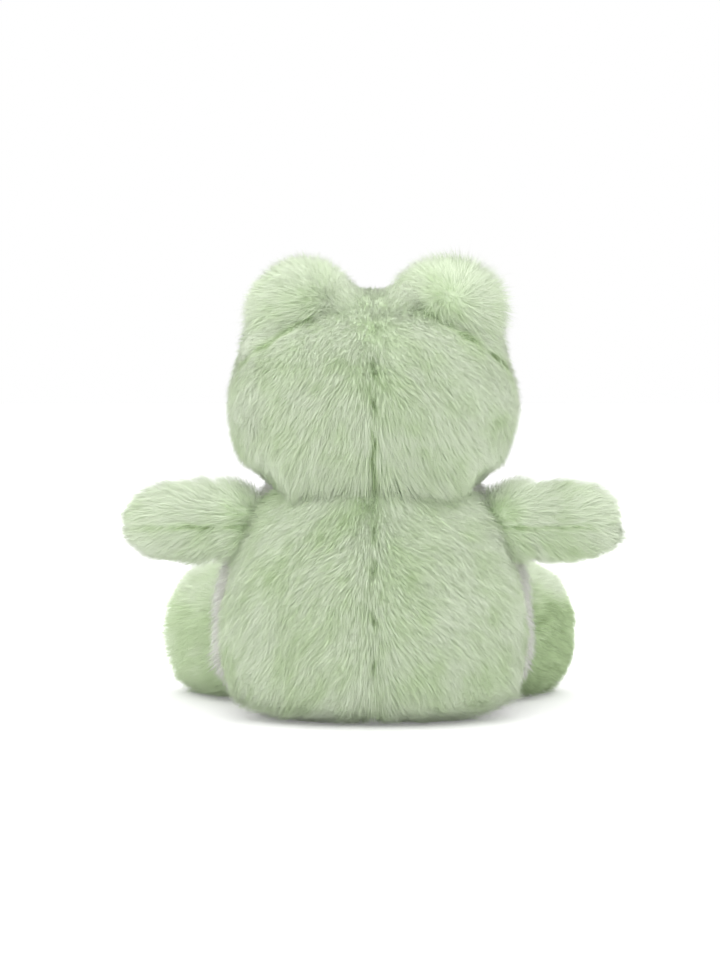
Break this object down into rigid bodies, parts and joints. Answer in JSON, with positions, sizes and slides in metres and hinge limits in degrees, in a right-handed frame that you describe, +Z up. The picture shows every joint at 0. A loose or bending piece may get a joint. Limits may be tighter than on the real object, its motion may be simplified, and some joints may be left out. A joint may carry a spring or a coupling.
{
  "type": "plush frog",
  "caption": "Seated long-pile plush frog with a wide round head, domed eye bumps, stubby arms held straight out and short splayed legs; head, arms and legs flex on sprung seams.",
  "frame": {"origin": "middle of the seat, on the surface that the frog sits on", "axes": "+Z up; the frog faces -Y; +X is the frog's own left, along its outstretched arms"},
  "size_m": [0.2524, 0.1935, 0.2332],
  "materials": {
    "mint_plush": "long soft pile",
    "cream_plush": "short soft pile",
    "stuffing": "loose polyester fibre",
    "bag_cloth": "plain woven cotton",
    "eye_black": "polished",
    "washer_nylon": "moulded"
  },
  "bodies": {
    "torso": {"belly_panel": "cream_plush", "torso_back_left": "mint_plush", "torso_back_right": "mint_plush", "torso_fill": "stuffing", "pellet_bag": "bag_cloth"},
    "head": {"face_panel": "mint_plush", "head_back_left": "mint_plush", "head_back_right": "mint_plush", "head_fill": "stuffing", "left_eye_bump": "mint_plush", "left_eye_bump_fill": "stuffing", "left_eye": "eye_black", "left_eye_washer": "washer_nylon", "right_eye_bump": "mint_plush", "right_eye_bump_fill": "stuffing", "right_eye": "eye_black", "right_eye_washer": "washer_nylon"},
    "left_arm": {"left_arm_upper_panel": "mint_plush", "left_arm_lower_panel": "mint_plush", "left_arm_fill": "stuffing"},
    "right_arm": {"right_arm_upper_panel": "mint_plush", "right_arm_lower_panel": "mint_plush", "right_arm_fill": "stuffing"},
    "left_leg": {"left_leg_outer_panel": "mint_plush", "left_leg_inner_panel": "mint_plush", "left_leg_fill": "stuffing"},
    "right_leg": {"right_leg_outer_panel": "mint_plush", "right_leg_inner_panel": "mint_plush", "right_leg_fill": "stuffing"}
  },
  "joints": [
    {"name": "head_nod", "type": "hinge", "parent": "torso", "child": "head", "pos_m": [0, -0.002, 0.163], "axis": [1, 0, 0], "range_deg": [-15, 20], "stiffness_Nm_per_rad": 0.25},
    {"name": "left_arm_lift", "type": "hinge", "parent": "torso", "child": "left_arm", "pos_m": [0.07324, 0.006, 0.1], "axis": [0, -1, 0], "range_deg": [-20, 55], "stiffness_Nm_per_rad": 0.12},
    {"name": "right_arm_lift", "type": "hinge", "parent": "torso", "child": "right_arm", "pos_m": [-0.07324, 0.006, 0.1], "axis": [0, 1, 0], "range_deg": [-20, 55], "stiffness_Nm_per_rad": 0.12},
    {"name": "left_leg_lift", "type": "hinge", "parent": "torso", "child": "left_leg", "pos_m": [0.0585, -0.0605, 0.0365], "axis": [-0.9063, -0.4226, 0], "range_deg": [-12, 35], "stiffness_Nm_per_rad": 0.15},
    {"name": "right_leg_lift", "type": "hinge", "parent": "torso", "child": "right_leg", "pos_m": [-0.0585, -0.0605, 0.0365], "axis": [-0.9063, 0.4226, 0], "range_deg": [-12, 35], "stiffness_Nm_per_rad": 0.15}
  ]
}
